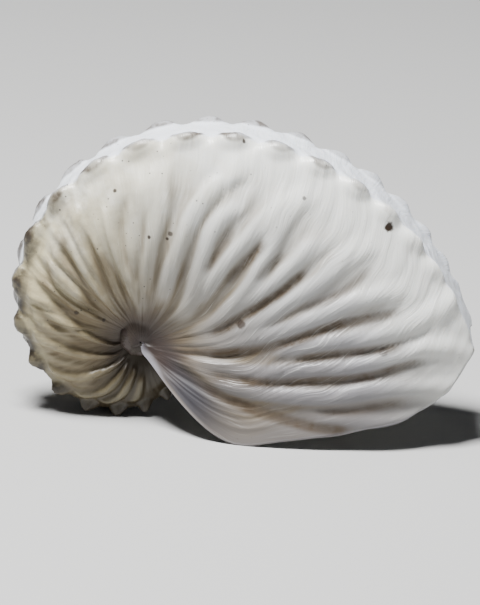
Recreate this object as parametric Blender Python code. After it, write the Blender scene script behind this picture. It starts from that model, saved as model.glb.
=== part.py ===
"""Shell of a paper nautilus, standing on its two lips and its early whorl.

The shell is one thin wall wound in a logarithmic spiral around an axis along Y. A place on it
is given by two numbers: turn, the angle around the axis in degrees, which falls as the shell
grows towards its mouth, and rise, which is 0 at the axis and 1 at the shoulder of the keel.
The mouth opens towards +X, and both side walls are alike apart from small shifts of their ribs.
"""

from math import cos, exp, hypot, log, pi, radians, sin

import bmesh
import bpy
from mathutils import Matrix, Vector

# Spiral
keel_radius = 0.058  # at turn 0, over the tips of the tubercles
growth = 0.00525  # of the radius, as a power of e, for each degree of turn
first_radius = 0.0022  # of the keel, where the coil starts inside the boss
axis_gap = 0.0013  # from the axis to the inner edge of the wall
wall = 0.00055
thin_wall_share = 0.06  # of the keel's radius, in the small first coil

# Half breadth of the shell, in shares of the keel's radius, at each rise
breadth_points = [
    (0.0, 0.085), (0.12, 0.135), (0.25, 0.18), (0.45, 0.225),
    (0.65, 0.222), (0.85, 0.175), (1.0, 0.118),
]
breadth_at_axis = 0.0052  # the most that the wall has beside the axis, at the lips

# Turn of the mouth's edge at each rise
mouth_points = [
    (0.0, -59.0), (0.08, -55.5), (0.14, -52.5), (0.25, -47.5), (0.315, -42.5),
    (0.4, -32.5), (0.49, -25.5), (0.59, -20.3), (0.65, -17.8), (0.745, -14.5),
    (0.8, -12.0), (0.9, -7.2), (1.0, -0.3),
]
mouth_keel_notch = 6.0  # degrees that the keel's middle lies behind its shoulders
straight_from = 115.0  # turn above which the wall's lines of growth run straight out

# Tubercles stand in two rows on the keel's shoulders, which take turns
tubercle_phase = 37.5  # turn of one tubercle of the near row
far_row_lag = 0.56  # of a step, from a tubercle of the near row to the far row's next
tubercle_height = 0.0017
tubercle_height_share = 0.125  # of the keel's radius, the most on the small whorl
keel_set_in = 0.1  # share of its radius that the small whorl's keel lies below the spiral
tubercle_half_length = 0.38  # of a step
tubercle_half_breadth = 0.0024
full_tubercles_from = 34.0  # turn below which they fade towards the mouth

# Ribs of a side wall: rise of the lower and the upper end, then turn at the lower end,
# in the middle and at the upper end
ribs = [
    (0.50, 0.85, 270, 267.5, 263), (0.38, 0.87, 258, 253, 242), (0.34, 0.90, 241.5, 236.8, 224),
    (0.63, 0.80, 223, 219.5, 215), (0.27, 0.87, 228, 214.5, 200), (0.54, 0.80, 201, 196, 191),
    (0.27, 0.85, 210, 187, 176), (0.50, 0.82, 176, 169.5, 163), (0.21, 0.87, 189, 162, 153),
    (0.32, 0.70, 149, 145, 144.5), (0.48, 0.79, 138.5, 137, 130.5), (0.23, 0.84, 124.5, 122, 115),
    (0.60, 0.87, 110, 108, 104.5), (0.20, 0.79, 88, 103, 98.5), (0.45, 0.80, 93, 92, 90),
    (0.29, 0.80, 87, 83, 84), (0.27, 0.84, 67, 70, 63.5), (0.22, 0.70, 40, 57, 58.5),
    (0.32, 0.77, 43, 48, 47), (0.25, 0.80, 20, 36, 45), (0.42, 0.72, 27, 29.5, 33.5),
    (0.25, 0.79, 11, 20.5, 25.5), (0.21, 0.80, 3, 12, 14.5), (0.48, 0.97, 3, 6.5, 8),
    (0.18, 0.91, -13, -2.5, 2), (0.25, 0.87, -20, -8.5, -3), (0.46, 0.79, -16, -12.6, -9),
]
rib_height = 0.00055
rib_height_share = 0.03  # of the keel's radius, the most on the small whorl
rib_half_width = 0.5  # of a step of the tubercles
far_side_shift = 1.5  # degrees, the most that a rib of the far side is moved

# Boss on the axis: distance from the middle plane and radius, from the middle outwards
boss_profile = [
    (0.0, 0.0024), (0.0008, 0.0020), (0.0016, 0.0019), (0.0025, 0.0025), (0.0034, 0.0031),
    (0.0044, 0.0030), (0.0051, 0.0024), (0.0055, 0.0015), (0.00565, 0.0006),
]
boss_sides = 24

# Facets
columns_per_step = 4
hidden_columns_per_step = 2
hidden_from = 330.0  # turn above which the coil lies inside the mouth
side_rows = 10  # even, on each side wall
keel_rows = 6  # even

# Stand
pitch = -2.95  # degrees about Y that bring both lips and the early keel onto the ground
shell_colour = (0.78, 0.76, 0.70, 1.0)


def blend(low, high, x):
    """Smooth rise from 0 at low to 1 at high."""
    t = min(1.0, max(0.0, (x - low) / (high - low)))
    return t * t * (3.0 - 2.0 * t)


def curve_through(points, x):
    """Smooth curve through the points, held level past its ends."""
    if x <= points[0][0]:
        return points[0][1]
    if x >= points[-1][0]:
        return points[-1][1]
    i = max(n for n in range(len(points) - 1) if points[n][0] <= x)
    (x0, y0), (x1, y1) = points[i], points[i + 1]
    before = points[max(i - 1, 0)]
    after = points[min(i + 2, len(points) - 1)]
    span = x1 - x0
    slope0 = (y1 - before[1]) / (x1 - before[0]) * span
    slope1 = (after[1] - y0) / (after[0] - x0) * span
    t = (x - x0) / span
    level = (1.0 + 2.0 * t) * (1.0 - t) ** 2 * y0 + t * t * (3.0 - 2.0 * t) * y1
    return level + t * (1.0 - t) ** 2 * slope0 - t * t * (1.0 - t) * slope1


def radius_at(turn):
    return keel_radius * exp(-growth * turn)


def tubercle_step(turn):
    """Degrees from one tubercle of a row to the next."""
    return max(5.0, min(20.0, 5.0 + 0.09 * turn))


def tubercle_turns(first, last):
    """Turn of each tubercle, with 0 for the near row and 1 for the far row."""
    near = [tubercle_phase]
    while near[-1] < last:
        near.append(near[-1] + tubercle_step(near[-1] + 0.5 * tubercle_step(near[-1])))
    while near[0] > first:
        near.insert(0, near[0] - tubercle_step(near[0] - 0.5 * tubercle_step(near[0])))
    far = [turn + far_row_lag * (following - turn) for turn, following in zip(near, near[1:])]
    return sorted([(turn, 0) for turn in near] + [(turn, 1) for turn in far])


tubercles = tubercle_turns(-4.0, 640.0)


def tubercle_bump(turn, off_shoulder, side):
    """Height of the tubercles at a place so far across from the shoulder of that side."""
    row = 0 if side < 0.0 else 1
    radius = radius_at(turn)
    best = 0.0
    for centre, its_row in tubercles:
        if its_row != row or abs(centre - turn) > 12.0:
            continue
        length = tubercle_half_length * tubercle_step(centre)
        breadth = min(tubercle_half_breadth, 0.1 * radius)
        away = hypot((turn - centre) / length, off_shoulder / breadth)
        if away < 1.0:
            best = max(best, (1.0 - away * away) ** 1.6)
    height = min(tubercle_height, tubercle_height_share * radius)
    return best * height * (0.25 + 0.75 * blend(-2.0, full_tubercles_from, turn))


def rib_bump(turn, rise, side):
    """Height of the ribs at a place on a side wall, where neighbours run into each other."""
    level = 1.0
    width = rib_half_width * tubercle_step(turn)
    for number, (low, high, turn_low, turn_middle, turn_high) in enumerate(ribs):
        if not low - 0.12 < rise < high + 0.1:
            continue
        t = min(1.0, max(0.0, (rise - low) / (high - low)))
        crest = turn_low * (1 - t) * (1 - 2 * t) + turn_middle * 4 * t * (1 - t)
        crest += turn_high * t * (2 * t - 1)
        if side > 0.0:
            crest += far_side_shift * sin(2.4 * number)
        away = abs(turn - crest) / (width * (0.55 + 0.45 * blend(0.1, 0.6, rise)))
        if away < 1.0:
            ends = blend(low - 0.12, low + 0.06, rise) * (1.0 - blend(high - 0.06, high + 0.1, rise))
            level *= 1.0 - ends * (1.0 - away * away) ** 2
    return (1.0 - level) * min(rib_height, rib_height_share * radius_at(turn))


def mouth_turn(rise, across):
    """Turn of the mouth's edge. across is 1 at a shoulder of the keel and 0 in its middle."""
    return curve_through(mouth_points, rise) + mouth_keel_notch * (1.0 - across * across)


def outline(row):
    """Side, rise and place across the keel of a row, counted from one wall to the other."""
    last = 2 * side_rows + keel_rows
    side = -1.0 if row < last / 2 else 1.0
    nearest = min(row, last - row)
    if nearest <= side_rows:
        return side, (nearest / side_rows) ** 1.2, 1.0
    return side, 1.0, 1.0 - 2.0 * (nearest - side_rows) / keel_rows


def place(column_turn, row, lift):
    """Point of the wall's outer face, which lift moves out over its relief."""
    side, share, across = outline(row)
    lip_gap = axis_gap / radius_at(mouth_points[1][1])
    edge = mouth_turn(lip_gap + (1.0 - lip_gap) * share, across) - mouth_points[-1][1]
    swing = 1.0 - blend(mouth_points[-1][1], straight_from, column_turn)
    turn = column_turn + edge * swing
    radius = radius_at(turn)
    gap = min(axis_gap, 0.3 * radius) / radius
    rise = gap + (1.0 - gap) * share
    half = curve_through(breadth_points, rise) * radius
    over = max(0.0, breadth_points[0][1] * radius - breadth_at_axis)
    half -= over * max(0.0, 1.0 - rise / breadth_points[2][0]) ** 2
    distance = (rise - keel_set_in * blend(60.0, 200.0, turn) * blend(0.6, 1.0, rise)) * radius
    if share < 1.0:
        off_shoulder = (1.0 - rise) * radius
    else:
        off_shoulder = (1.0 - across) * half
    bump = 0.0
    rib = 0.0
    if lift:
        bump = tubercle_bump(turn, off_shoulder, side)
        rib = rib_bump(turn, rise, side) if share < 1.0 else 0.0
    distance += 0.85 * bump + rib * 0.3 * blend(0.6, 1.0, rise)
    half += (0.5 * bump + rib) * (across if share >= 1.0 else 1.0)
    angle = radians(turn)
    return Vector((distance * cos(angle), side * half * across, distance * sin(angle)))


def column_turns():
    """Turn of each column of facets, with one on each side of every tubercle's middle."""
    turns = [mouth_points[-1][1]]
    for (turn, _), (following, _) in zip(tubercles, tubercles[1:]):
        parts = columns_per_step // 2 if turn < hidden_from else hidden_columns_per_step // 2
        for part in range(parts):
            turns.append(turn + (following - turn) * (part + 0.5) / parts)
    last = log(keel_radius / first_radius) / growth
    turns = turns[:1] + [turn for turn in turns if turns[0] + 1.5 < turn < last - 6.0]
    if len(turns) % 2:
        turns.pop()
    return turns + [last]


def spiral_wall():
    """The wound wall as a closed mesh. Its inner face has half as many rows and columns."""
    turns = column_turns()
    rows = 2 * side_rows + keel_rows
    mesh = bmesh.new()
    outer = [[mesh.verts.new(place(turn, row, True)) for row in range(rows + 1)] for turn in turns]
    inner = []
    for turn in turns[::2]:
        line = []
        for row in range(0, rows + 1, 2):
            here = place(turn, row, False)
            along = place(turn + 1.0, row, False) - place(turn - 1.0, row, False)
            up = place(turn, min(row + 1, rows), False) - place(turn, max(row - 1, 0), False)
            outward = up.cross(along).normalized()
            thick = min(wall, thin_wall_share * radius_at(turn))
            line.append(mesh.verts.new(here - outward * thick))
        inner.append(line)
    for grid, turned in ((outer, False), (inner, True)):
        for this, following in zip(grid, grid[1:]):
            for row in range(len(this) - 1):
                corners = [this[row], this[row + 1], following[row + 1], following[row]]
                mesh.faces.new(corners[::-1] if turned else corners)
    close_rim(mesh, border(outer), border(inner))
    bmesh.ops.recalc_face_normals(mesh, faces=mesh.faces)
    return mesh


def border(grid):
    """The grid's edge vertices in order, all the way round."""
    sides = list(grid[0][:-1]) + [line[-1] for line in grid[:-1]]
    return sides + list(grid[-1][:0:-1]) + [line[0] for line in grid[:0:-1]]


def close_rim(mesh, outside, inside):
    """Faces between two borders, of which the outside one has twice as many vertices."""
    count = len(inside)
    for n in range(count):
        start, end = inside[n], inside[(n + 1) % count]
        a, b, c = (outside[(2 * n + k) % (2 * count)] for k in range(3))
        mesh.faces.new((start, a, b))
        mesh.faces.new((start, b, end))
        mesh.faces.new((end, b, c))


def boss():
    """Thickened axis with a rounded boss at each end, turned around Y."""
    mesh = bmesh.new()
    half = boss_profile[1:]
    profile = [(-y, r) for y, r in half[::-1]] + boss_profile[:1] + half
    rings = []
    for y, radius in profile:
        angles = [2.0 * pi * n / boss_sides for n in range(boss_sides)]
        rings.append([mesh.verts.new((radius * cos(a), y, radius * sin(a))) for a in angles])
    for ring, following in zip(rings, rings[1:]):
        for n in range(boss_sides):
            m = (n + 1) % boss_sides
            mesh.faces.new((ring[n], ring[m], following[m], following[n]))
    mesh.faces.new(rings[0])
    mesh.faces.new(rings[-1])
    bmesh.ops.recalc_face_normals(mesh, faces=mesh.faces)
    return mesh


def make_object(name, built):
    data = bpy.data.meshes.new(name)
    built.to_mesh(data)
    built.free()
    item = bpy.data.objects.new(name, data)
    bpy.context.scene.collection.objects.link(item)
    return item


def shell_material():
    material = bpy.data.materials.new("shell")
    material.use_nodes = True
    surface = material.node_tree.nodes["Principled BSDF"]
    surface.inputs["Base Color"].default_value = shell_colour
    surface.inputs["Roughness"].default_value = 0.45
    surface.inputs["Metallic"].default_value = 0.0
    return material


def stand_on_ground(item):
    """Turns the mesh to its rest and puts the middle of its box's underside at the origin."""
    item.data.transform(Matrix.Rotation(radians(pitch), 4, "Y"))
    points = [vertex.co for vertex in item.data.vertices]
    low = Vector([min(point[k] for point in points) for k in range(3)])
    high = Vector([max(point[k] for point in points) for k in range(3)])
    middle = (low + high) / 2.0
    item.data.transform(Matrix.Translation((-middle.x, -middle.y, -low.z)))


def build():
    for item in list(bpy.data.objects):
        bpy.data.objects.remove(item, do_unlink=True)
    shell = make_object("shell", spiral_wall())
    axis = make_object("boss", boss())
    union = shell.modifiers.new("boss", "BOOLEAN")
    union.operation = "UNION"
    union.solver = "EXACT"
    union.use_self = True
    union.object = axis
    bpy.context.view_layer.update()
    joined = bpy.data.meshes.new_from_object(shell.evaluated_get(bpy.context.evaluated_depsgraph_get()))
    shell.modifiers.clear()
    shell.data = joined
    bpy.data.objects.remove(axis, do_unlink=True)
    shell.data.name = "shell"
    shell.data.materials.clear()
    shell.data.materials.append(shell_material())
    stand_on_ground(shell)
    shell.data.shade_smooth()
    shell.data.set_sharp_from_angle(angle=radians(50.0))


build()
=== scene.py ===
from functools import partial
from math import cos, log, pi, radians, sin

import bpy
import numpy as np
from mathutils import Matrix, Vector


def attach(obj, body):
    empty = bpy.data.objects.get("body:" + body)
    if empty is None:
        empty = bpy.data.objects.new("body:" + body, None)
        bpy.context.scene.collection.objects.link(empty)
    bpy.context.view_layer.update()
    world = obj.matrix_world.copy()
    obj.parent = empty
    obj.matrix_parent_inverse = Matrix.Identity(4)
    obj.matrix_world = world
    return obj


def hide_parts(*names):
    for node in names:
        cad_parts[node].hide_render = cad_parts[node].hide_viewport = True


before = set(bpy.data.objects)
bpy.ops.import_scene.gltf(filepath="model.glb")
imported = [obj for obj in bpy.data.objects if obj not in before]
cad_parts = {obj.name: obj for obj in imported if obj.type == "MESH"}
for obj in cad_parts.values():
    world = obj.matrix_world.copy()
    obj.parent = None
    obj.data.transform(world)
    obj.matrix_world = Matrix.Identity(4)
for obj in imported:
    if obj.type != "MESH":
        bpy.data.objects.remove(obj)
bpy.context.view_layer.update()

# A place on the shell is its turn, the angle around the axis in degrees, which falls towards
# the mouth, and its rise, 0 at the axis and 1 at the shoulder of the keel. Reach is the
# distance from the axis.
spiral = {
    "keelRadius": 0.058,          # at turn 0
    "growth": 0.00525,            # power of e for each degree
    "firstRadius": 0.0024,        # of the keel, where the coil starts
    "axisGap": 0.00035,           # from the axis to the wall's inner edge
    "wall": 0.00042,
    "thinWallShare": 0.05,        # of the radius, in the small first coil
    "keelSetIn": 0.1,             # the small whorl's keel lies this share lower
    "breadthBesideAxis": 0.0053,
    "besideAxis": 0.25,           # up to this rise
    "axisAt": (-0.01758, 0.0),    # X and Y of the axis in the frame
    "pitch": -2.95,               # degrees about Y, as the shell stands
    # rise, then half the breadth for each metre of radius
    "halfBreadths": [(0, .085), (.12, .135), (.25, .18), (.45, .225), (.65, .222), (.85, .175),
                     (1, .118)],
    # rise, then turn of the mouth's edge, which wraps below the dome at its start
    "mouthEdge": [(0, -84), (.014, -80), (.03, -65), (.05, -58.5), (.08, -55.5), (.14, -52.5),
                  (.25, -47.5), (.315, -42.5), (.4, -32.5), (.49, -25.5), (.59, -20.3),
                  (.65, -17.8), (.745, -14.5), (.8, -12), (.9, -7.2), (1, -.3)],
}

sheet = {
    "sideRows": 74,
    "keelRows": 20,
    "liningStep": 3,              # outer columns for each column of the lining
    "finestColumn": 0.6,          # degrees at the mouth
    "columnGrowth": 0.0027,       # more degrees for each degree of turn
    "hiddenFrom": 335.0,
    "hiddenColumn": 3.5,
    "straightFrom": 115.0,        # columns follow the mouth's edge below this turn
    "keelNotch": 1.5,             # degrees that the keel's middle lies behind its shoulders
    "rowEasing": 0.45,            # rows are closer at both ends of a side wall
    "rowPower": 1.3,              # and closer beside the axis
    "widestGap": 0.3,             # of the radius, in the small first coil
}

dome = {                          # of the newer wall over the axis
    "height": 0.00535,
    "radius": 0.0068,
    "lastRadius": 0.0038,         # where the small whorl passes under it
    "narrowsFrom": 110.0,
    "narrowsTo": 205.0,
    "goneAt": 225.0,
    "blend": 0.0009,
}

relief = {
    "ribHeight": 0.0011,
    "ribHeightShare": 0.05,       # of the radius, the most on the small whorl
    "ribHalfWidth": 0.47,         # of a step of the knobs
    "ribByAxis": (0.55, 0.6),     # width's share beside the axis, and the rise where it is full
    "ribEnds": (0.12, 0.06, 0.03, 0.12),  # how far it fades below and above each end
    "furrowDepth": 0.00034,
    "furrowHalfWidth": 1.8,       # degrees at turn 0
    "furrowByAxis": (0.5, 0.5),
    "furrowEnds": (0.06, 0.05, 0.07, 0.06),
    "furrowInLining": 1.6,        # deeper by this share there, so that the lining stays under
    "betweenShare": 0.7,          # height of the weaker ribs between the ribs
    "leastHalfWidth": 0.002,      # of a rib or furrow, in metres
    "crestPower": 1.6,
    "troughPower": 2,
    "wobble": (0.7, 17, 2.1),     # of a crest: degrees, waves by rise, shift from rib to rib
    "farSideShift": 1.5,          # degrees, the most that a far rib is moved
    "foldHeight": 0.0004,         # folds along the lines of growth
    "foldWaves": (0.45, 2.6, 1.7),      # of their noise: along the turn, the rise and the keel
    "betweenWaves": (0.22, 2.0, 1.0),   # the same of the weaker ribs
    "betweenSeen": (0.35, 0.65),
    "lipHeight": 0.00022,         # rolled edge of the mouth beside the axis
    "shoulderDrop": 0.0007,       # that rounds the shoulder
    "shoulderWidth": 0.0026,
    "shoulderWidthShare": 0.06,   # of the radius, the most on the small whorl
}

# rise of both ends, then turn at the lower end, the middle and the upper end, then strength
ribs = [
    (.50, .85, 270, 267.5, 263, .8), (.38, .87, 258, 253, 242, 1), (.34, .90, 241.5, 236.8, 224, 1),
    (.63, .80, 223, 219.5, 215, .6), (.27, .87, 228, 214.5, 200, 1), (.54, .80, 201, 196, 191, .6),
    (.27, .85, 210, 187, 176, 1), (.50, .82, 176, 169.5, 163, .7), (.21, .87, 189, 162, 153, 1),
    (.32, .70, 149, 145, 144.5, .5), (.48, .79, 138.5, 137, 130.5, .8), (.23, .84, 124.5, 122, 115, .9),
    (.60, .87, 110, 108, 104.5, .7), (.20, .79, 88, 103, 98.5, .9), (.45, .80, 93, 92, 90, .8),
    (.29, .80, 87, 83, 84, .9), (.27, .84, 67, 70, 63.5, 1), (.22, .70, 40, 57, 58.5, 1),
    (.32, .77, 43, 48, 47, .9), (.25, .80, 20, 36, 45, 1), (.42, .72, 27, 29.5, 33.5, .8),
    (.25, .79, 11, 20.5, 25.5, 1), (.21, .80, 3, 12, 14.5, 1), (.44, .97, 3.5, 5.3, 7.5, .8),
    (.18, .91, -13, -3.3, .7, 1), (.25, .87, -20, -10.8, -6.3, 1), (.55, .79, -19, -16, -13, .5),
]
# furrows between ribs: the same numbers, with the depth last
furrows = [
    (.05, .30, -22, -1, -2, .8), (.07, .62, -32, -25, -18.4, 1), (.20, .84, -2, 7.6, 10, 1),
    (.20, .86, -17, -7, -2, .9), (.50, .80, -16.5, -13, -9.8, .7),
    (.46, .82, 0, 1.2, 3.2, .8), (.55, .84, 17, 18.3, 20.5, .8), (.24, .66, 15, 23.5, 27.5, 1),
    (.50, .66, 34, 35, 36, .8), (.42, .66, 40, 42, 43.5, .9), (.42, .66, 52, 53.5, 54.5, .8),
    (.32, .62, 60.5, 62.5, 64.5, .6), (.26, .68, 74, 79, 77, .4),
]
knobs = {
    "phase": 37.5,                # turn of one knob of the near row
    "span": (-4.0, 640.0),        # turns that their rows reach
    "step": (5.0, 0.09, 20.0),    # degrees between them: least, more for each degree, most
    "farRowLag": 0.56,            # of a step
    "height": 0.00165,
    "heightShare": 0.125,
    "upShare": 0.78,              # of the height, away from the axis
    "sideShare": 0.55,            # and to the knob's own side
    "halfLength": 0.5,            # of a step
    "shorterBy": 0.28,            # of the length, on the small whorl
    "halfBreadth": 0.0026,
    "halfBreadthShare": 0.11,     # of the radius, the most on the small whorl
    "power": 1.7,                 # of their rounding
    "fullFrom": 34.0,             # they fade towards the mouth below this turn
    "mouthShare": 0.25,           # to this share of their height
}


def smooth(low, high, x):
    t = np.clip((x - low) / (high - low), 0.0, 1.0)
    return t * t * (3.0 - 2.0 * t)


def curveThrough(points, x):
    # smooth curve through the points, level past its ends
    xs = np.array([p[0] for p in points], float)
    ys = np.array([p[1] for p in points], float)
    slopes = np.zeros(len(xs))
    slopes[1:-1] = (ys[2:] - ys[:-2]) / (xs[2:] - xs[:-2])
    slopes[0] = (ys[1] - ys[0]) / (xs[1] - xs[0])
    slopes[-1] = (ys[-1] - ys[-2]) / (xs[-1] - xs[-2])
    x = np.clip(x, xs[0], xs[-1])
    i = np.clip(np.searchsorted(xs, x, side="right") - 1, 0, len(xs) - 2)
    span = xs[i + 1] - xs[i]
    t = (x - xs[i]) / span
    level = (1 + 2 * t) * (1 - t) ** 2 * ys[i] + t * t * (3 - 2 * t) * ys[i + 1]
    return level + span * (t * (1 - t) ** 2 * slopes[i] - t * t * (1 - t) * slopes[i + 1])


def radiusAt(turn):
    return spiral["keelRadius"] * np.exp(-spiral["growth"] * turn)


def knobStep(turn):
    least, more, most = knobs["step"]
    return np.clip(least + more * turn, least, most)


def knobTurns():
    near = [knobs["phase"]]
    first, last = knobs["span"]
    while near[-1] < last:
        near.append(near[-1] + knobStep(near[-1] + 0.5 * knobStep(near[-1])))
    while near[0] > first:
        near.insert(0, near[0] - knobStep(near[0] - 0.5 * knobStep(near[0])))
    far = [a + knobs["farRowLag"] * (b - a) for a, b in zip(near, near[1:])]
    return near, far


def layColumns():
    turns = [spiral["mouthEdge"][-1][1]]
    while turns[-1] < sheet["hiddenFrom"]:
        turns.append(turns[-1] + sheet["finestColumn"] + sheet["columnGrowth"] * max(0.0, turns[-1]))
    last = log(spiral["keelRadius"] / spiral["firstRadius"]) / spiral["growth"]
    while turns[-1] < last - sheet["hiddenColumn"]:
        turns.append(turns[-1] + sheet["hiddenColumn"])
    while len(turns) % sheet["liningStep"] != 1:
        turns.append(last)
        last += 1.0
    return np.array(turns)


def layRows():
    # rise and place across the keel of every row, from one wall to the other
    steps = np.linspace(0.0, 1.0, sheet["sideRows"] + 1)
    eased = steps - sheet["rowEasing"] * np.sin(2 * pi * steps) / (2 * pi)
    rises = eased ** sheet["rowPower"]
    across = np.linspace(-1.0, 1.0, sheet["keelRows"] + 1)[1:-1]
    rise = np.concatenate([rises, np.ones(len(across)), rises[::-1]])
    place = np.concatenate([-np.ones(len(rises)), across, np.ones(len(rises))])
    return rise, place


def crestTurn(line, rise, number):
    low, high, turnLow, turnMiddle, turnHigh, _ = line
    t = np.clip((rise - low) / (high - low), 0.0, 1.0)
    bend = turnLow * (1 - t) * (1 - 2 * t) + turnMiddle * 4 * t * (1 - t) + turnHigh * t * (2 * t - 1)
    size, waves, shift = relief["wobble"]
    return bend + size * np.sin(waves * rise + shift * number) * rise


def byAxis(share, full, rise):
    return share + (1 - share) * smooth(0.1, full, rise)


def endFade(line, fades, rise):
    below, above, beforeTop, afterTop = fades
    start = smooth(line[0] - below, line[0] + above, rise)
    return start * (1 - smooth(line[1] - beforeTop, line[1] + afterTop, rise))


def leastWidth(turn, rise):
    return np.degrees(relief["leastHalfWidth"] / (rise * radiusAt(turn)))


def ribRelief(turn, rise, place):
    # 0 in the hollows to 1 on a crest, neighbours running into each other
    level = np.ones_like(turn)
    width = relief["ribHalfWidth"] * knobStep(turn) * byAxis(*relief["ribByAxis"], rise)
    width = np.maximum(width, leastWidth(turn, rise) * smooth(200, 60, turn))
    for number, rib in enumerate(ribs):
        shift = np.where(place > 0, relief["farSideShift"] * sin(2.4 * number), 0.0)
        away = np.abs(turn - crestTurn(rib, rise, number) - shift) / width
        crest = np.clip(1 - away * away, 0, 1) ** relief["crestPower"]
        level *= 1 - rib[5] * endFade(rib, relief["ribEnds"], rise) * crest
    return (1 - level) ** (0.75 + 0.8 * smooth(90, 180, turn))


def furrowRelief(turn, rise, place):
    depth = np.zeros_like(turn)
    width = relief["furrowHalfWidth"] * (1 + 0.008 * turn) * byAxis(*relief["furrowByAxis"], rise)
    width = np.maximum(width, leastWidth(turn, rise))
    for number, line in enumerate(furrows):
        shift = np.where(place > 0, relief["farSideShift"] * sin(1.7 * number), 0.0)
        away = np.abs(turn - crestTurn(line, rise, number) - shift) / width
        trough = np.clip(1 - away * away, 0, 1) ** relief["troughPower"]
        depth = np.maximum(depth, line[5] * endFade(line, relief["furrowEnds"], rise) * trough)
    return depth


def knobRelief(turn, rise, place, half):
    radius = radiusAt(turn)
    found = np.zeros_like(turn)
    for row, centres in zip((-1, 1), knobTurns()):
        onSide = place * row > 0
        offShoulder = np.where(rise < 1, (1 - rise) * radius, (1 - np.abs(place)) * half)
        for centre in centres:
            shorter = 1 - knobs["shorterBy"] * smooth(120, 200, centre)
            length = knobs["halfLength"] * knobStep(centre) * shorter
            breadth = np.minimum(knobs["halfBreadth"], knobs["halfBreadthShare"] * radius)
            away = np.hypot((turn - centre) / length, offShoulder / breadth)
            knob = np.clip(1 - away * away, 0, 1) ** knobs["power"]
            found = np.maximum(found, np.where(onSide, knob, 0))
    full = smooth(-2, knobs["fullFrom"], turn)
    return found * (knobs["mouthShare"] + (1 - knobs["mouthShare"]) * full)


def flatSheet():
    # The wall before it is wound: an outer grid, a lining with fewer columns, and the rim
    # between them. What each point knows is stored in attributes.
    turns = layColumns()
    rise, place = layRows()
    gap = spiral["axisGap"] / radiusAt(spiral["mouthEdge"][0][1])
    edge = curveThrough(spiral["mouthEdge"], gap + (1 - gap) * rise)
    edge = edge + sheet["keelNotch"] * (1 - place * place) - spiral["mouthEdge"][-1][1]
    swing = 1 - smooth(spiral["mouthEdge"][-1][1], sheet["straightFrom"], turns)
    turn = turns[:, None] + edge[None, :] * swing[:, None]
    radius = radiusAt(turn)
    gapShare = np.minimum(spiral["axisGap"], sheet["widestGap"] * radius) / radius
    riseHere = gapShare + (1 - gapShare) * rise[None, :]
    placeHere = np.broadcast_to(place[None, :], turn.shape)
    half = curveThrough(spiral["halfBreadths"], riseHere) * radius
    onWall = np.broadcast_to(rise[None, :] < 1, turn.shape)
    values = {
        "turn": turn, "rise": riseHere, "across": placeHere,
        "line": np.broadcast_to(turns[:, None], turn.shape),
        "reach": riseHere * radius,
        "fromLip": radians(1) * (turn - turn[:1]) * riseHere * radius,
        "shoulder": np.where(onWall, (riseHere - 1) * radius, (1 - np.abs(placeHere)) * half),
        "rib": ribRelief(turn, riseHere, placeHere) * onWall,
        "furrow": furrowRelief(turn, riseHere, placeHere) * onWall,
        "knob": knobRelief(turn, riseHere, placeHere, half),
    }
    outerIndex = np.arange(turn.size).reshape(turn.shape)
    innerPick = outerIndex[::sheet["liningStep"]]
    innerIndex = turn.size + np.arange(innerPick.size).reshape(innerPick.shape)
    faces = gridFaces(outerIndex)
    faces += [face[::-1] for face in gridFaces(innerIndex)]
    faces += rimFaces(outerIndex, innerIndex)
    points = np.stack([turn / 100.0, np.broadcast_to(np.arange(len(rise)) / 50.0, turn.shape),
                       np.zeros(turn.shape)], -1).reshape(-1, 3)
    points = np.concatenate([points, points[innerPick.ravel()] - (0, 0, 0.01)])
    mesh = bpy.data.meshes.new("flatSheet")
    mesh.from_pydata(points.tolist(), [], faces)
    for name, array in values.items():
        store(mesh, name, np.concatenate([array.ravel(), array.ravel()[innerPick.ravel()]]))
    store(mesh, "depth", np.concatenate([np.zeros(turn.size), np.ones(innerPick.size)]))
    mesh.shade_smooth()
    return mesh


def store(mesh, name, array):
    attribute = mesh.attributes.new(name, "FLOAT", "POINT")
    attribute.data.foreach_set("value", np.ascontiguousarray(array, np.float32))


def gridFaces(index):
    a, b, c, d = index[:-1, :-1], index[:-1, 1:], index[1:, 1:], index[1:, :-1]
    return np.stack([a, b, c, d], -1).reshape(-1, 4).tolist()


def rimFaces(outside, inside):
    found = []
    step = sheet["liningStep"]
    for outerLine, innerLine, flip in ((outside[0], inside[0], False), (outside[-1], inside[-1], True)):
        for n in range(len(innerLine) - 1):
            face = [outerLine[n + 1], outerLine[n], innerLine[n], innerLine[n + 1]]
            found.append(face[::-1] if flip else face)
    for row, flip in ((0, True), (-1, False)):
        outerLine, innerLine = outside[:, row], inside[:, row]
        for n in range(len(innerLine) - 1):
            face = list(outerLine[step * n:step * n + step + 1][::-1]) + [innerLine[n], innerLine[n + 1]]
            found.append(face[::-1] if flip else face)
    return [[int(point) for point in face] for face in found]


# Nodes, for geometry and for finishes alike

def fill(tree, sockets, values):
    for socket, value in zip(sockets, values):
        if isinstance(value, bpy.types.NodeSocket):
            tree.links.new(value, socket)
        elif value is not None:
            socket.default_value = value


def maths(tree, operation, *values):
    node = tree.nodes.new("ShaderNodeMath")
    node.operation = operation
    fill(tree, node.inputs, values)
    return node.outputs[0]


def ramp(tree, value, low, high, toLow=0.0, toHigh=1.0):
    node = tree.nodes.new("ShaderNodeMapRange")
    node.interpolation_type = "SMOOTHSTEP"
    fill(tree, node.inputs, (value, low, high, toLow, toHigh))
    return node.outputs[0]


def product(tree, *values):
    result = values[0]
    for value in values[1:]:
        result = maths(tree, "MULTIPLY", result, value)
    return result


def masked(tree, known, ramps):
    # product of ramps: what each follows, low, high, and the values there
    return product(tree, *[ramp(tree, known[name], *limits) for name, *limits in ramps])


def combine(tree, *values):
    node = tree.nodes.new("ShaderNodeCombineXYZ")
    fill(tree, node.inputs, values)
    return node.outputs[0]


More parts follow.
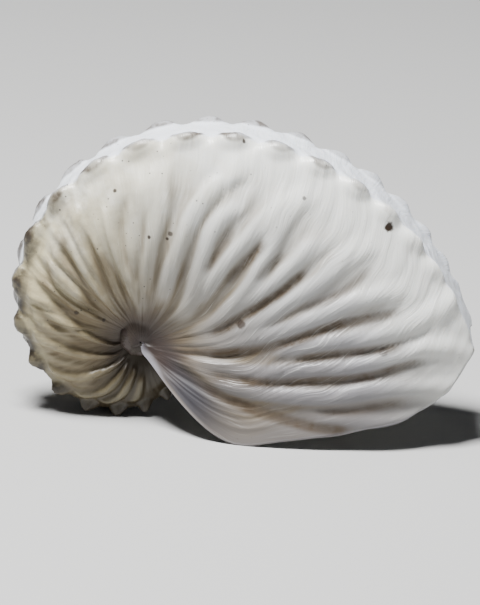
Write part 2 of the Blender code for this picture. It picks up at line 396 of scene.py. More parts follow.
def alongGrowth(tree, known, waves):
    # where noise is taken, so that it runs along the lines of growth
    names = ("line", "rise", "across")
    return combine(tree, *[product(tree, known[name], wave) for name, wave in zip(names, waves)])


def noise(tree, vector, scale=1.0, detail=2.0, roughness=0.5):
    node = tree.nodes.new("ShaderNodeTexNoise")
    fill(tree, [node.inputs[n] for n in ("Vector", "Scale", "Detail", "Roughness")],
         (vector, scale, detail, roughness))
    return node.outputs[0]


def newGroup(name, kind, inputs, outputs):
    tree = bpy.data.node_groups.new(name, kind)
    for direction, sockets in (("INPUT", inputs), ("OUTPUT", outputs)):
        for label, socketKind, value in sockets:
            socket = tree.interface.new_socket(label, in_out=direction,
                                               socket_type="NodeSocket" + socketKind)
            if value is not None and direction == "INPUT":
                socket.default_value = value
    return tree, tree.nodes.new("NodeGroupInput").outputs, tree.nodes.new("NodeGroupOutput").inputs


# Winding the sheet

windSizes = {
    "Keel Radius": spiral["keelRadius"], "Growth": spiral["growth"],
    "Keel Set In": spiral["keelSetIn"], "Breadth Beside Axis": spiral["breadthBesideAxis"],
    "Wall": spiral["wall"], "Thin Wall Share": spiral["thinWallShare"],
    "Dome Height": dome["height"], "Dome Radius": dome["radius"], "Dome Last Radius": dome["lastRadius"],
    "Rib Height": relief["ribHeight"], "Rib Height Share": relief["ribHeightShare"],
    "Furrow Depth": relief["furrowDepth"], "Fold Height": relief["foldHeight"],
    "Shoulder Drop": relief["shoulderDrop"], "Shoulder Width": relief["shoulderWidth"],
    "Lip Height": relief["lipHeight"],
    "Knob Height": knobs["height"], "Knob Height Share": knobs["heightShare"],
}
shapeMasks = {
    "lowKeel": [("turn", 60, 200), ("rise", 0.6, 1)],
    "shoulder": [("turn", 5, 60, 0.2, 1), ("turn", 170, 220, 1, 0.3)],
    "ribs": [("turn", 10, 90, 0.78, 1)],
    "folds": [("turn", 150, 300, 2, 0.6), ("fromLip", 0, 0.004), ("reach", 0.003, 0.010, 0.2, 1)],
    "between": [("turn", 60, 110), ("turn", 150, 190, 1, 0), ("reach", 0.006, 0.013),
                ("rise", 0.78, 0.95, 1, 0)],
    "roll": [("fromLip", 0.0003, 0.0014, 1, 0), ("reach", 0.004, 0.028, 1, 0)],
    "ribWall": [("turn", 30, 90, 0, 0.25)],    # more wall under the ribs, by their height
}


def namedAttribute(tree, name):
    node = tree.nodes.new("GeometryNodeInputNamedAttribute")
    node.data_type = "FLOAT"
    node.inputs["Name"].default_value = name
    return node.outputs["Attribute"]


def halfBreadth(tree, known, size, radius):
    # along the rise, less beside the axis where the lips start, with the newer wall's dome
    calc = partial(maths, tree)
    shape = tree.nodes.new("ShaderNodeFloatCurve")
    curve = shape.mapping.curves[0]
    for x, y in spiral["halfBreadths"][1:-1]:
        curve.points.new(x, y)
    curve.points[0].location = spiral["halfBreadths"][0]
    curve.points[-1].location = spiral["halfBreadths"][-1]
    shape.mapping.update()
    tree.links.new(known["rise"], shape.inputs["Value"])
    half = product(tree, shape.outputs["Value"], radius)
    beside = product(tree, radius, spiral["halfBreadths"][0][1])
    over = calc("MAXIMUM", 0.0, calc("SUBTRACT", beside, size["Breadth Beside Axis"]))
    inward = calc("SUBTRACT", 1.0, calc("DIVIDE", known["rise"], spiral["besideAxis"]))
    inward = calc("MAXIMUM", 0.0, inward)
    half = calc("SUBTRACT", half, product(tree, over, calc("POWER", inward, 2.0)))

    domeRadius = ramp(tree, known["turn"], dome["narrowsFrom"], dome["narrowsTo"], size["Dome Radius"],
                      size["Dome Last Radius"])
    near = calc("MINIMUM", 1.0, calc("DIVIDE", known["reach"], domeRadius))
    domeHere = product(tree, calc("SUBTRACT", 1.0, calc("POWER", near, 3.0)), size["Dome Height"])
    domed = calc("SMOOTH_MAX", half, domeHere, dome["blend"])
    present = ramp(tree, known["turn"], dome["narrowsTo"], dome["goneAt"], 1.0, 0.0)
    return calc("ADD", half, product(tree, calc("SUBTRACT", domed, half), present))


def woundPlace(tree, known, size, radius):
    # on the spiral, with the early keel set lower, a rounded shoulder and the knobs
    calc = partial(maths, tree)
    half = halfBreadth(tree, known, size, radius)
    low = product(tree, masked(tree, known, shapeMasks["lowKeel"]), size["Keel Set In"])
    distance = product(tree, calc("SUBTRACT", known["rise"], low), radius)

    roundWidth = product(tree, radius, relief["shoulderWidthShare"])
    roundWidth = calc("MINIMUM", size["Shoulder Width"], roundWidth)
    off = calc("DIVIDE", calc("ABSOLUTE", known["shoulder"]), roundWidth)
    off = calc("POWER", calc("MAXIMUM", 0.0, calc("SUBTRACT", 1.0, off)), 2.0)
    drop = product(tree, off, calc("DIVIDE", roundWidth, size["Shoulder Width"]), size["Shoulder Drop"],
                   masked(tree, known, shapeMasks["shoulder"]))
    distance = calc("SUBTRACT", distance, drop)
    half = calc("SUBTRACT", half, product(tree, drop, calc("ABSOLUTE", known["across"])))

    # the knobs push outwards and to their side
    knobHeight = calc("MINIMUM", size["Knob Height"], product(tree, radius, size["Knob Height Share"]))
    knob = product(tree, known["knob"], knobHeight)
    knobbed = calc("ADD", distance, product(tree, knob, knobs["upShare"]))
    sideways = product(tree, knob, knobs["sideShare"], calc("SIGN", known["across"]))
    sideways = calc("ADD", product(tree, known["across"], half), sideways)
    angle = calc("RADIANS", known["turn"])
    return combine(tree, product(tree, knobbed, calc("COSINE", angle)), sideways,
                   product(tree, knobbed, calc("SINE", angle)))


def wallLift(tree, known, size, radius):
    # along the normal: ribs, furrows, folds and the rolled lip, then the wall's thickness
    calc = partial(maths, tree)
    ribHeight = calc("MINIMUM", size["Rib Height"], product(tree, radius, size["Rib Height Share"]))
    ribHeight = product(tree, ribHeight, masked(tree, known, shapeMasks["ribs"]))
    lift = product(tree, known["rib"], ribHeight)
    deeper = calc("ADD", 1.0, product(tree, known["depth"], relief["furrowInLining"]))
    lift = calc("SUBTRACT", lift, product(tree, known["furrow"], size["Furrow Depth"], deeper))

    fold = noise(tree, alongGrowth(tree, known, relief["foldWaves"]))
    fold = product(tree, calc("SUBTRACT", fold, 0.5), size["Fold Height"])
    lift = calc("ADD", lift, product(tree, fold, masked(tree, known, shapeMasks["folds"])))

    between = noise(tree, alongGrowth(tree, known, relief["betweenWaves"]), 1.0, 0.0)
    between = ramp(tree, between, *relief["betweenSeen"])
    between = product(tree, between, masked(tree, known, shapeMasks["between"]))
    lift = calc("ADD", lift, product(tree, between, ribHeight, relief["betweenShare"]))
    roll = product(tree, masked(tree, known, shapeMasks["roll"]), size["Lip Height"])
    lift = calc("ADD", lift, roll)

    thick = calc("MINIMUM", size["Wall"], product(tree, radius, size["Thin Wall Share"]))
    thick = calc("ADD", thick, product(tree, ribHeight, masked(tree, known, shapeMasks["ribWall"])))
    lift = calc("SUBTRACT", lift, product(tree, thick, known["depth"]))
    outward = calc("SUBTRACT", 1.0, product(tree, known["depth"], 2.0))   # the lining faces inwards
    return product(tree, lift, outward)


def windingTree(wallFinish, liningFinish):
    inputs = [("Geometry", "Geometry", None)] + [(name, "Float", 0.0) for name in windSizes]
    tree, size, out = newGroup("windShell", "GeometryNodeTree", inputs, [("Geometry", "Geometry", None)])
    known = {name: namedAttribute(tree, name) for name in
             ("turn", "rise", "across", "depth", "reach", "fromLip", "shoulder", "line", "rib", "furrow",
              "knob")}
    power = product(tree, known["turn"], size["Growth"], -1.0)
    radius = product(tree, maths(tree, "EXPONENT", power), size["Keel Radius"])

    wind = tree.nodes.new("GeometryNodeSetPosition")
    fill(tree, [wind.inputs["Geometry"], wind.inputs["Position"]],
         (size["Geometry"], woundPlace(tree, known, size, radius)))
    normal = tree.nodes.new("GeometryNodeInputNormal").outputs["Normal"]
    push = tree.nodes.new("ShaderNodeVectorMath")
    push.operation = "SCALE"
    fill(tree, [push.inputs[0], push.inputs["Scale"]], (normal, wallLift(tree, known, size, radius)))
    swell = tree.nodes.new("GeometryNodeSetPosition")
    fill(tree, [swell.inputs["Geometry"], swell.inputs["Offset"]], (wind.outputs[0], push.outputs[0]))

    realize = tree.nodes.new("GeometryNodeRealizeInstances")
    tree.links.new(swell.outputs[0], realize.inputs[0])
    last = realize.outputs[0]
    inLining = maths(tree, "GREATER_THAN", known["depth"], 0.5)
    for finish, chosen in ((wallFinish, None), (liningFinish, inLining)):
        dress = tree.nodes.new("GeometryNodeSetMaterial")
        dress.inputs["Material"].default_value = finish
        fill(tree, [dress.inputs["Geometry"], dress.inputs["Selection"]], (last, chosen))
        last = dress.outputs[0]
    tree.links.new(last, out["Geometry"])
    return tree


def socketId(tree, name):
    for item in tree.interface.items_tree:
        if item.name == name and item.in_out == "INPUT":
            return item.identifier


def windShell(wallFinish, liningFinish):
    wall = bpy.data.objects.new("shellWall", flatSheet())
    bpy.context.scene.collection.objects.link(wall)
    tree = windingTree(wallFinish, liningFinish)
    winding = wall.modifiers.new("windShell", "NODES")
    winding.node_group = tree
    for name, value in windSizes.items():
        winding[socketId(tree, name)] = value
    made = bpy.data.meshes.new_from_object(wall.evaluated_get(bpy.context.evaluated_depsgraph_get()))
    wall.modifiers.clear()
    wall.data = made
    made.shade_smooth()
    return wall


# Boss on the axis, seen where the small whorl passes under the dome

boss = {
    "profile": [(0, .0024), (.0008, .0020), (.0016, .0019), (.0024, .0026), (.0032, .0032),
                (.0040, .0033), (.0045, .0029), (.0049, .0020), (.0051, .0004)],
    "rings": 48,
    "sides": 96,
    "oval": 0.22,                 # share that its radius grows and falls around it
    "widestAt": 110.0,            # degrees
    "folds": 9,
    "foldHeight": 0.00008,
    "foldSlant": 900.0,           # radians for each metre along the axis
    "fullFolds": 0.002,           # radius from which they have their height
}


def makeBoss(finish):
    top = boss["profile"][-1][0]
    heights = np.linspace(0, top, boss["rings"] // 2 + 1)[:-1]
    ys = np.concatenate([-heights[:0:-1], heights])
    radii = curveThrough(boss["profile"], np.abs(ys))
    count = boss["sides"]
    points = [(0, -top, 0), (0, top, 0)]
    for y, r in zip(ys, radii):
        for n in range(count):
            a = 2 * pi * n / count
            oval = 1 + boss["oval"] * cos(a - radians(boss["widestAt"]))
            fold = boss["foldHeight"] * sin(boss["folds"] * a + boss["foldSlant"] * y)
            fold *= min(1, r / boss["fullFolds"])
            out = r * oval + fold
            points.append((out * cos(a), y, out * sin(a)))
    faces = []
    for ring in range(len(ys) - 1):
        for n in range(count):
            m = (n + 1) % count
            first = 2 + ring * count
            faces.append((first + n, first + count + n, first + count + m, first + m))
    last = 2 + (len(ys) - 1) * count
    for n in range(count):
        m = (n + 1) % count
        faces.append((0, 2 + n, 2 + m))
        faces.append((1, last + m, last + n))
    mesh = bpy.data.meshes.new("boss")
    mesh.from_pydata(points, [], faces)
    mesh.materials.append(finish)
    mesh.shade_smooth()
    item = bpy.data.objects.new("boss", mesh)
    bpy.context.scene.collection.objects.link(item)
    return item


def standOnGround(items):
    turned = Matrix.Rotation(radians(spiral["pitch"]), 4, "Y")
    for item in items:
        item.data.transform(turned)
    lowest = min(vertex.co.z for item in items for vertex in item.data.vertices)
    move = Vector((spiral["axisAt"][0], spiral["axisAt"][1], -lowest))
    for item in items:
        item.data.transform(Matrix.Translation(move))
    return Matrix.Translation(move) @ turned


# Finishes

def finishGroup(name, outputs, **numbers):
    # takes a place and the numbers named, and gives plain values
    inputs = [("Vector", "Vector", None)]
    inputs += [(label, "Float", value) for label, value in numbers.items()]
    return newGroup(name, "ShaderNodeTree", inputs, [(label, "Float", None) for label in outputs])


growthNoise = {
    "swayScale": 120.0,           # for each metre
    "sway": 5.0,                  # degrees
    # waves along turn, rise and keel, then detail and roughness
    "fine": ((1.3, 6.0, 1.0), 3.0, 0.6),
    "bands": ((0.3, 3.5, 1.0), 2.0, 0.5),
    "fineSeen": (0.56, 0.74),
    "bandsSeen": (0.3, 0.7),
    "bandsInHeight": 0.8,
}


def growthLinesGroup():
    # fine bright lines, wider bands and a height, all along the lines of growth
    tree, given, out = finishGroup("growthLines", ("Fine", "Bands", "Height"), Line=0.0, Rise=0.0,
                                   Across=0.0)
    sway = noise(tree, given["Vector"], growthNoise["swayScale"], 1.0)
    line = maths(tree, "ADD", given["Line"], product(tree, sway, growthNoise["sway"]))
    known = {"line": line, "rise": given["Rise"], "across": given["Across"]}
    found = {}
    for name in ("fine", "bands"):
        waves, detail, roughness = growthNoise[name]
        found[name] = noise(tree, alongGrowth(tree, known, waves), 1.0, detail, roughness)
    tree.links.new(ramp(tree, found["fine"], *growthNoise["fineSeen"]), out["Fine"])
    tree.links.new(ramp(tree, found["bands"], *growthNoise["bandsSeen"]), out["Bands"])
    raised = product(tree, found["bands"], growthNoise["bandsInHeight"])
    tree.links.new(maths(tree, "ADD", found["fine"], raised), out["Height"])
    return tree


specksShape = {"leastRadius": 0.5, "solidShare": 0.6}    # of the radius


def specksGroup():
    # small round specks in some cells of a pattern
    tree, given, out = finishGroup("specks", ["Mask"], Cells=300.0, Share=0.1, Radius=0.08)
    cells = tree.nodes.new("ShaderNodeTexVoronoi")
    fill(tree, [cells.inputs["Vector"], cells.inputs["Scale"]], (given["Vector"], given["Cells"]))
    parts = tree.nodes.new("ShaderNodeSeparateColor")
    tree.links.new(cells.outputs["Color"], parts.inputs["Color"])
    chosen = maths(tree, "LESS_THAN", parts.outputs[0], given["Share"])
    varied = maths(tree, "ADD", parts.outputs[1], specksShape["leastRadius"])
    size = product(tree, given["Radius"], varied)
    solid = product(tree, size, specksShape["solidShare"])
    speck = ramp(tree, cells.outputs["Distance"], solid, size, 1.0, 0.0)
    tree.links.new(product(tree, chosen, speck), out["Mask"])
    return tree


spotShape = {
    "raggedScale": 1500.0,        # for each metre
    "leastAway": 0.4,             # the noise adds to this share of the distance
    "solidShare": 0.5,            # of the radius
}


def spotGroup():
    # one ragged spot at its place on the near side
    tree, given, out = finishGroup("spot", ["Mask"], Turn=0.0, Reach=0.0, Across=0.0, SpotTurn=0.0,
                                   SpotReach=0.0, Radius=0.0005, Strength=1.0)
    along = maths(tree, "RADIANS", maths(tree, "SUBTRACT", given["Turn"], given["SpotTurn"]))
    along = product(tree, along, given["Reach"])
    outward = maths(tree, "SUBTRACT", given["Reach"], given["SpotReach"])
    away = maths(tree, "ADD", product(tree, along, along), product(tree, outward, outward))
    ragged = noise(tree, given["Vector"], spotShape["raggedScale"], 2.0)
    ragged = maths(tree, "ADD", spotShape["leastAway"], ragged)
    away = product(tree, maths(tree, "SQRT", away), ragged)
    solid = product(tree, given["Radius"], spotShape["solidShare"])
    mask = ramp(tree, away, solid, given["Radius"], given["Strength"], 0.0)
    onNearSide = maths(tree, "LESS_THAN", given["Across"], 0.0)
    tree.links.new(product(tree, mask, onNearSide), out["Mask"])
    return tree


def cloudGroup():
    # uneven 0 to 1 clouds, for stains and wear
    tree, given, out = finishGroup("clouds", ["Mask"], Size=0.01, Low=0.4, High=0.6)
    found = noise(tree, given["Vector"], maths(tree, "DIVIDE", 1.0, given["Size"]), 4.0, 0.6)
    tree.links.new(ramp(tree, found, given["Low"], given["High"]), out["Mask"])
    return tree


def useGroup(tree, group, output, **values):
    node = tree.nodes.new("ShaderNodeGroup")
    node.node_tree = group
    fill(tree, [node.inputs[name] for name in values], values.values())
    return node.outputs[output]


def attribute(tree, name):
    node = tree.nodes.new("ShaderNodeAttribute")
    node.attribute_name = name
    return node.outputs["Fac"]


def blend(tree, amount, under, over):
    node = tree.nodes.new("ShaderNodeMix")
    node.data_type = "RGBA"
    fill(tree, [node.inputs[0], node.inputs[6], node.inputs[7]], (amount, under, over))
    return node.outputs[2]


def objectPlace(tree):
    return tree.nodes.new("ShaderNodeTexCoord").outputs["Object"]


def newMaterial(name):
    material = bpy.data.materials.new(name)
    material.use_nodes = True
    return material, material.node_tree, material.node_tree.nodes["Principled BSDF"]


def bump(tree, surface, height, distance, strength=1.0):
    node = tree.nodes.new("ShaderNodeBump")
    fill(tree, [node.inputs[n] for n in ("Strength", "Distance", "Height")], (strength, distance, height))
    tree.links.new(node.outputs["Normal"], surface.inputs["Normal"])


wallColours = {
    "white": (0.78, 0.785, 0.745, 1),
    "keelWhite": (0.72, 0.76, 0.83, 1),
    # cool grey: on the wall partly the shell's cool tone and partly painted shade; in the lining, its
    # growth bands
    "coolGreyAndShade": (0.23, 0.228, 0.25, 1),
    "cream": (0.47, 0.42, 0.26, 1),
    # painted shade: grey laid over the lower wall, which faces away from the light
    "paintedShade": (0.13, 0.12, 0.115, 1),
    # olive: the small whorl's tone, darkened further as painted shade
    "oliveAndShade": (0.035, 0.025, 0.009, 1),
    # dark olive: painted shade over the lower part of the small whorl, in its olive tone
    "oldOlive": (0.022, 0.015, 0.005, 1),
    # tan: the shell's colour; between the ribs also painted shade
    "hollow": (0.14, 0.105, 0.058, 1),
    # brown in the furrows: partly stain, partly painted shade under each rib
    "furrow": (0.06, 0.037, 0.016, 1),
    # dark brown: at the axis partly the shell's colour and partly painted shade in the dimple; also the
    # boss's colour
    "core": (0.042, 0.028, 0.023, 1),
    # very dark brown: the boss's own colour, and the painted shadow under the dome's edge
    "coreDark": (0.03, 0.02, 0.012, 1),
    "knobTan": (0.075, 0.058, 0.043, 1),
    # dark knob tips of the small whorl; also the dirt and painted shade along its shoulder
    "knobOld": (0.026, 0.019, 0.013, 1),
    # blue-grey beside the lip, darkened as painted shade where the wall faces down
    "lipGreyAndShade": (0.022, 0.021, 0.028, 1),
    "lipWhite": (0.32, 0.32, 0.37, 1),
    "speck": (0.03, 0.025, 0.02, 1),
    "spot": (0.025, 0.015, 0.009, 1),
}
# dirt on the near side: turn, reach, radius and strength
spots = [
    (27.0, 0.0483, 0.0009, 1), (17.8, 0.0186, 0.0009, 0.8), (1.3, 0.0423, 0.0009, 0.5),
    (76.5, 0.0209, 0.0004, 0.95), (75.7, 0.0219, 0.0005, 0.8), (84.8, 0.0208, 0.0004, 0.95),
    (98.3, 0.0288, 0.0004, 0.9), (44.0, 0.0395, 0.0004, 0.7), (151.2, 0.0126, 0.0005, 0.8),
    (63.9, 0.0407, 0.0004, 0.9), (146.2, 0.0077, 0.0004, 0.8),
]


# a mask is a product of ramps: what it follows, low, high, and the values there
wallMasks = {
    # cool grey towards the mouth and away from the keel: partly the shell's cool tone, partly painted
    # shade where the wall faces away from the light
    "cool": [("turn", -15, 60, 1, 0.05), ("rise", 0.62, 0.92, 1, 0.15)],
    "mottled": [("turn", 70, 130)],
    "oldest": [("turn", 178, 258)],
    "oldHollow": [("rib", 0.2, 0.85, 0.92, 0.2)],
    "inner": [("reach", 0.006, 0.030, 0.75, 0), ("turn", 212, 262, 1, 0.25)],
    # these three masks are painted shade in grey over the lower wall, kept off the axis
    "outerVeil": [("reach", 0.020, 0.046, 0.42, 0), ("turn", 40, 110, 1, 0)],
    "lowestVeil": [("turn", -30, 14, 0.9, 0), ("rise", 0.8, 1, 1, 0.2)],
    "middleVeil": [("turn", -2, 26, 0.6, 0), ("rise", 0.5, 0.8, 1, 0)],
    "offAxis": [("reach", 0.008, 0.016)],
    # tan in the hollows between the ribs: partly the shell's colour, partly painted shade
    "hollow": [("rib", 0.15, 0.75, 1, 0), ("rise", 0.72, 0.9, 1, 0), ("reach", 0.018, 0.042, 1, 0.5),
               ("fromLip", 0.001, 0.006, 0.35, 1), ("turn", 212, 262, 1, 0.3)],
    # brown in the furrows, partly stain and partly painted shade
    "furrow": [("furrow", 0.3, 0.95)],
    "streaky": [("reach", 0.006, 0.02, 0.1, 0.45), ("turn", 60, 130, 1, 0.15),
                ("fromLip", 0.006, 0.012, 0.3, 1), ("furrow", 0, 0.8, 1, 0.35)],
    # grey beside the lip: partly the smooth shell's blue-grey, partly painted shade
    "lipSide": [("fromLip", 0.0002, 0.0008), ("fromLip", 0.0028, 0.0075, 1, 0),
                ("reach", 0.012, 0.024, 1, 0)],
    # darker towards the axis: partly the shell's brown, partly painted shade in the dimple
    "core": [("reach", 0.003, 0.011, 1, 0)],
    # painted shadow: the dark crescent where the small whorl passes under the dome
    "underDome": [("turn", 180, 205), ("reach", 0.0035, 0.008, 1, 0)],
    "lipEdge": [("reach", 0.004, 0.012, 0.55, 0.25)],
    "onKeel": [("shoulder", -0.0004, 0.0008)],
    "oldKeel": [("turn", 140, 210)],
    "tip": [("turn", 10, 60), ("turn", 208, 245, 1, 0.3)],
    "oldTip": [("turn", 120, 180)],
    "tipStrength": [("turn", 120, 190, 0.92, 0.97)],
    # painted shade in olive, darker towards the bottom of the small whorl
    "oldOlive": [("turn", 198, 244, 0, 0.64)],
    # dark line along the near shoulder: partly dirt, partly painted shade under the shoulder's edge
    "seam": [("shoulder", -0.0030, -0.0004), ("shoulder", 0.0004, 0.0012, 1, 0), ("turn", 98, 140),
             ("turn", 200, 235, 1, 0.45)],
    "specks": [("turn", 20, 90, 0.25, 1)],
    "worn": [("turn", 60, 130, 0, 0.8)],
    "bump": [("reach", 0.004, 0.018, 0.12, 1), ("fromLip", 0.002, 0.009, 0.2, 1)],
}
# what a mask varies with, its least share and what that adds
wallVariation = {
    "mottled": ("patches", 0.0, 0.42),
    "hollow": ("bands", 0.4, 0.45),
    "furrow": ("patches", 0.65, 0.3),
    "tip": ("patches", 0.6, 0.4),
    "seam": ("patches", 0.42, 0.55),
}
wallShares = {"lipSide": 0.95, "core": 0.9, "underDome": 0.9, "specks": 0.85, "keel": 0.85}
wallTuning = {
    "creamTurn": (66, 178),
    "creamByClouds": 34,          # degrees earlier in the clouds
    "cloudSize": 0.012,
    "patches": {"Size": 0.004, "Low": 0.42, "High": 0.62},
    "specks": {"Cells": 850.0, "Share": 0.3, "Radius": 0.12},
    "lipEdgeWidth": (0.003, 0.008, 0.0014, 0.0006),    # by reach
    "stainedTip": (130, 190, 0.8, 0.38),    # knob height that is stained all over, by turn
    "lessOnKeel": 0.4,
    "tipSoftness": 0.3,
    "wear": (700.0, 3.0, 0.6),    # scale, detail and roughness of the worn small whorl
    "bump": 0.00015,
}
wallRoughness = {"least": 0.33, "hollow": 0.35, "oldTip": 0.3, "clouds": 0.08}


def wallMask(tree, known, name):
    mask = masked(tree, known, wallMasks[name])
    if name in wallVariation:
        follows, least, more = wallVariation[name]
        mask = product(tree, mask, maths(tree, "ADD", least, product(tree, known[follows], more)))
    return product(tree, mask, wallShares[name]) if name in wallShares else mask


def blendMask(tree, known, name, under, over):
    return blend(tree, wallMask(tree, known, name), under, over)


def knobTip(tree, known):
    whole = ramp(tree, known["turn"], *wallTuning["stainedTip"])
    whole = maths(tree, "SUBTRACT", whole, product(tree, known["onKeel"], wallTuning["lessOnKeel"]))
    start = maths(tree, "SUBTRACT", whole, wallTuning["tipSoftness"])
    return product(tree, ramp(tree, known["knob"], start, whole), wallMask(tree, known, "tip"))


def agedAndShadedWall(tree, known):
    # from cool grey at the mouth over warm white to cream and olive on the small whorl, the grey and the
    # olive partly painted shade, then painted shade in grey over the lower wall
    colour = wallColours
    base = blendMask(tree, known, "cool", colour["white"], colour["coolGreyAndShade"])
    age = maths(tree, "ADD", known["turn"], product(tree, known["clouds"], wallTuning["creamByClouds"]))
    base = blend(tree, ramp(tree, age, *wallTuning["creamTurn"]), base, colour["cream"])
    base = blendMask(tree, known, "mottled", base, colour["hollow"])
    oldest = product(tree, known["oldest"], wallMask(tree, known, "oldHollow"))
    # olive in the hollows of the oldest whorl, partly its tone and partly painted shade
    base = blend(tree, oldest, base, colour["oliveAndShade"])
    base = blendMask(tree, known, "inner", base, colour["hollow"])
    # painted shade in grey over the lower wall, which faces away from the light
    paintedShade = wallMask(tree, known, "outerVeil")
    for name in ("lowestVeil", "middleVeil"):
        paintedShade = maths(tree, "MAXIMUM", paintedShade, wallMask(tree, known, name))
    paintedShade = product(tree, paintedShade, wallMask(tree, known, "offAxis"))
    return blend(tree, paintedShade, base, colour["paintedShade"])


def hollowsAndLines(tree, known, base):
    # tan between the ribs and brown in the furrows, both partly the shell's colour and partly painted
    # shade, then fine white lines of growth
    base = blend(tree, known["hollow"], base, wallColours["hollow"])
    # brown furrow lines, partly painted shade
    base = blendMask(tree, known, "furrow", base, wallColours["furrow"])
    fine = product(tree, known["fine"], wallMask(tree, known, "streaky"))
    return blend(tree, fine, base, wallColours["white"])


def lipAndAxis(tree, known, base):
    # smooth grey beside the lip and dark at the axis, both partly painted shade; painted shadow under the
    # dome's edge; white at the lip's edge
    # grey beside the lip, partly painted shade
    base = blendMask(tree, known, "lipSide", base, wallColours["lipGreyAndShade"])
    # dark at the axis, partly painted shade in the dimple
    base = blendMask(tree, known, "core", base, wallColours["core"])
    # painted shadow under the dome's edge
    base = blendMask(tree, known, "underDome", base, wallColours["coreDark"])
    width = ramp(tree, known["reach"], *wallTuning["lipEdgeWidth"])
    edge = ramp(tree, known["fromLip"], 0.0, width, 1.0, 0.0)
    edge = product(tree, edge, wallMask(tree, known, "lipEdge"))
    return blend(tree, edge, base, wallColours["lipWhite"])


def keelAndKnobs(tree, known, base):
    # keel and knob tips, olive and painted shade over the small whorl's lower part, dirt and painted
    # shade along its shoulder
    colour = wallColours
    keelColour = blendMask(tree, known, "oldKeel", colour["keelWhite"], colour["hollow"])
    base = blend(tree, product(tree, known["onKeel"], wallShares["keel"]), base, keelColour)
    tipColour = blendMask(tree, known, "oldTip", colour["knobTan"], colour["knobOld"])
    tip = product(tree, known["tip"], wallMask(tree, known, "tipStrength"))
    base = blend(tree, tip, base, tipColour)
    # painted shade in olive over the lower part of the small whorl
    base = blendMask(tree, known, "oldOlive", base, colour["oldOlive"])
    # dirt and painted shade along the near shoulder
    return blendMask(tree, known, "seam", base, colour["knobOld"])


def specksAndSpots(tree, known, groups, place, base):
    specks = useGroup(tree, groups["specks"], "Mask", Vector=place, **wallTuning["specks"])
    specks = product(tree, specks, wallMask(tree, known, "specks"))
    base = blend(tree, specks, base, wallColours["speck"])
    where = {"Turn": known["turn"], "Reach": known["reach"], "Across": known["across"], "Vector": place}
    dirty = 0.0
    for turn, reach, radius, strength in spots:
        spot = useGroup(tree, groups["spot"], "Mask", SpotTurn=turn, SpotReach=reach, Radius=radius,
                        Strength=strength, **where)
        dirty = maths(tree, "MAXIMUM", spot, dirty)
    return blend(tree, dirty, base, wallColours["spot"])


def wallFinish(groups):
    material, tree, surface = newMaterial("outerWall")
    known = {name: attribute(tree, name) for name in
             ("turn", "rise", "across", "rib", "furrow", "knob", "reach", "fromLip", "shoulder", "line")}
    place = objectPlace(tree)
    growth = {"Line": known["line"], "Rise": known["rise"], "Across": known["across"], "Vector": place}
    for name in ("Fine", "Bands", "Height"):
        known[name.lower()] = useGroup(tree, groups["growth"], name, **growth)
    known["clouds"] = useGroup(tree, groups["clouds"], "Mask", Vector=place, Size=wallTuning["cloudSize"])
    known["patches"] = useGroup(tree, groups["clouds"], "Mask", Vector=place, **wallTuning["patches"])
    for name in ("oldest", "hollow", "onKeel"):
        known[name] = wallMask(tree, known, name)
    known["tip"] = knobTip(tree, known)

    base = agedAndShadedWall(tree, known)
    base = hollowsAndLines(tree, known, base)
    base = lipAndAxis(tree, known, base)
    base = keelAndKnobs(tree, known, base)
    base = specksAndSpots(tree, known, groups, place, base)
    tree.links.new(base, surface.inputs["Base Color"])

    known["oldTip"] = product(tree, known["tip"], known["oldest"])
    rough = wallRoughness["least"]
    for name in ("hollow", "oldTip", "clouds"):
        rough = maths(tree, "ADD", rough, product(tree, known[name], wallRoughness[name]))
    tree.links.new(rough, surface.inputs["Roughness"])
    surface.inputs["Subsurface Weight"].default_value = 0.1
    surface.inputs["Subsurface Radius"].default_value = (1.0, 0.8, 0.6)
    surface.inputs["Subsurface Scale"].default_value = 0.0006
    height = blendMask(tree, known, "worn", known["height"], noise(tree, place, *wallTuning["wear"]))
    bump(tree, surface, height, wallTuning["bump"], wallMask(tree, known, "bump"))
    return material


liningTuning = {
    "cloudSize": 0.015,
    "creamTurn": (30, 200),       # cream deepens towards the inner end
    "bands": 0.4,
    "cream": 0.8,
    "stains": 0.15,
    "roughness": (0.28, 0.12),    # least, and what the clouds add
    "bump": 0.00012,
}


def liningFinish(groups):
    material, tree, surface = newMaterial("lining")
    place = objectPlace(tree)
    growth = {"Line": attribute(tree, "line"), "Rise": attribute(tree, "rise"),
              "Across": attribute(tree, "across"), "Vector": place}
    bands = useGroup(tree, groups["growth"], "Bands", **growth)
    height = useGroup(tree, groups["growth"], "Height", **growth)
    clouds = useGroup(tree, groups["clouds"], "Mask", Vector=place, Size=liningTuning["cloudSize"])
    inside = ramp(tree, attribute(tree, "turn"), *liningTuning["creamTurn"])
    layers = [(bands, "bands", "coolGreyAndShade"), (inside, "cream", "cream"), (clouds, "stains", "hollow")]
    base = wallColours["white"]
    for mask, share, colour in layers:
        base = blend(tree, product(tree, mask, liningTuning[share]), base, wallColours[colour])
    tree.links.new(base, surface.inputs["Base Color"])
    least, more = liningTuning["roughness"]
    rough = maths(tree, "ADD", least, product(tree, clouds, more))
    tree.links.new(rough, surface.inputs["Roughness"])
    bump(tree, surface, height, liningTuning["bump"])
    return material


bossTuning = {"cloudSize": 0.0016, "roughness": (0.4, 0.2), "bump": 0.0001}


def bossFinish(groups):
    material, tree, surface = newMaterial("bossWall")
    clouds = useGroup(tree, groups["clouds"], "Mask", Vector=objectPlace(tree),
                      Size=bossTuning["cloudSize"])
    base = blend(tree, clouds, wallColours["core"], wallColours["coreDark"])
    tree.links.new(base, surface.inputs["Base Color"])
    least, more = bossTuning["roughness"]
    rough = maths(tree, "ADD", least, product(tree, clouds, more))
    tree.links.new(rough, surface.inputs["Roughness"])
    bump(tree, surface, clouds, bossTuning["bump"])
    return material


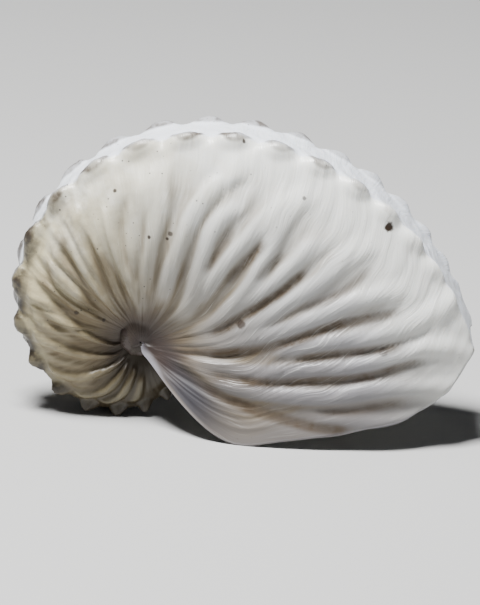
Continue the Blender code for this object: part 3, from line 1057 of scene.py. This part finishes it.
# Floor, lights and camera

ground = {"colour": (0.42, 0.42, 0.415, 1), "roughness": 0.85, "halfSide": 3.0}


def makeStage():
    material, _, surface = newMaterial("paleFloor")
    surface.inputs["Base Color"].default_value = ground["colour"]
    surface.inputs["Roughness"].default_value = ground["roughness"]
    a = ground["halfSide"]
    mesh = bpy.data.meshes.new("floor")
    mesh.from_pydata([(-a, -a, 0), (a, -a, 0), (a, a, 0), (-a, a, 0)], [], [(0, 1, 2, 3)])
    mesh.materials.append(material)
    floor = bpy.data.objects.new("floor", mesh)
    bpy.context.scene.collection.objects.link(floor)


lights = {
    "key": {"at": (-0.13, -0.12, 0.60), "size": 0.18, "power": 14.8},
    "fill": {"at": (0.5, -0.7, 0.40), "size": 0.6, "power": 0.25},
}
lightsAim = (0, 0, 0.025)
world = {"colour": (0.9, 0.93, 1.0, 1), "strength": 0.07}


def makeLights():
    for name, lamp in lights.items():
        data = bpy.data.lights.new(name, "AREA")
        data.size = lamp["size"]
        data.energy = lamp["power"]
        item = bpy.data.objects.new(name, data)
        item.location = lamp["at"]
        towards = Vector(lightsAim) - item.location
        item.rotation_euler = towards.to_track_quat("-Z", "Y").to_euler()
        bpy.context.scene.collection.objects.link(item)
    sky = bpy.data.worlds.new("studio")
    sky.use_nodes = True
    background = sky.node_tree.nodes["Background"]
    background.inputs["Color"].default_value = world["colour"]
    background.inputs["Strength"].default_value = world["strength"]
    bpy.context.scene.world = sky


view = {
    "image": (480, 605),
    "axisPixel": (141.5, 334.0),  # where the shell's axis is in the image
    "metresPerPixel": 0.058 / 331.0,
    "elevation": 18.0,
    "azimuth": 1.0,
    "distance": 1.0,
    "sensor": 36.0,
}


def makeCamera(standing):
    # set up on the unpitched shell, then carried round with it
    e, a = radians(view["elevation"]), radians(view["azimuth"])
    right = Vector((cos(a), sin(a), 0))
    up = Vector((-sin(a) * sin(e), cos(a) * sin(e), cos(e)))
    back = right.cross(up)
    scale = view["metresPerPixel"]
    width, height = view["image"]
    aim = right * (width / 2 - view["axisPixel"][0]) * scale
    aim += up * (view["axisPixel"][1] - height / 2) * scale
    matrix = Matrix((right, up, back)).transposed().to_4x4()
    matrix.translation = aim + back * view["distance"]
    data = bpy.data.cameras.new("camera")
    data.sensor_fit = "VERTICAL"
    data.sensor_height = view["sensor"]
    data.lens = view["sensor"] * view["distance"] / (height * scale)
    data.clip_start = 0.05
    camera = bpy.data.objects.new("camera", data)
    camera.matrix_world = standing @ matrix
    bpy.context.scene.collection.objects.link(camera)
    bpy.context.scene.camera = camera


shared = {"growth": growthLinesGroup(), "specks": specksGroup(), "clouds": cloudGroup(),
          "spot": spotGroup()}
shellWall = windShell(wallFinish(shared), liningFinish(shared))
print("wall wound", len(shellWall.data.polygons), "faces")
axisBoss = makeBoss(bossFinish(shared))
standing = standOnGround([shellWall, axisBoss])
for piece in (shellWall, axisBoss):
    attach(piece, "root")
    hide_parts("shell")
print("shell stands on its lips and early whorl")
makeStage()
makeLights()
makeCamera(standing)
print("floor, lights and camera set")
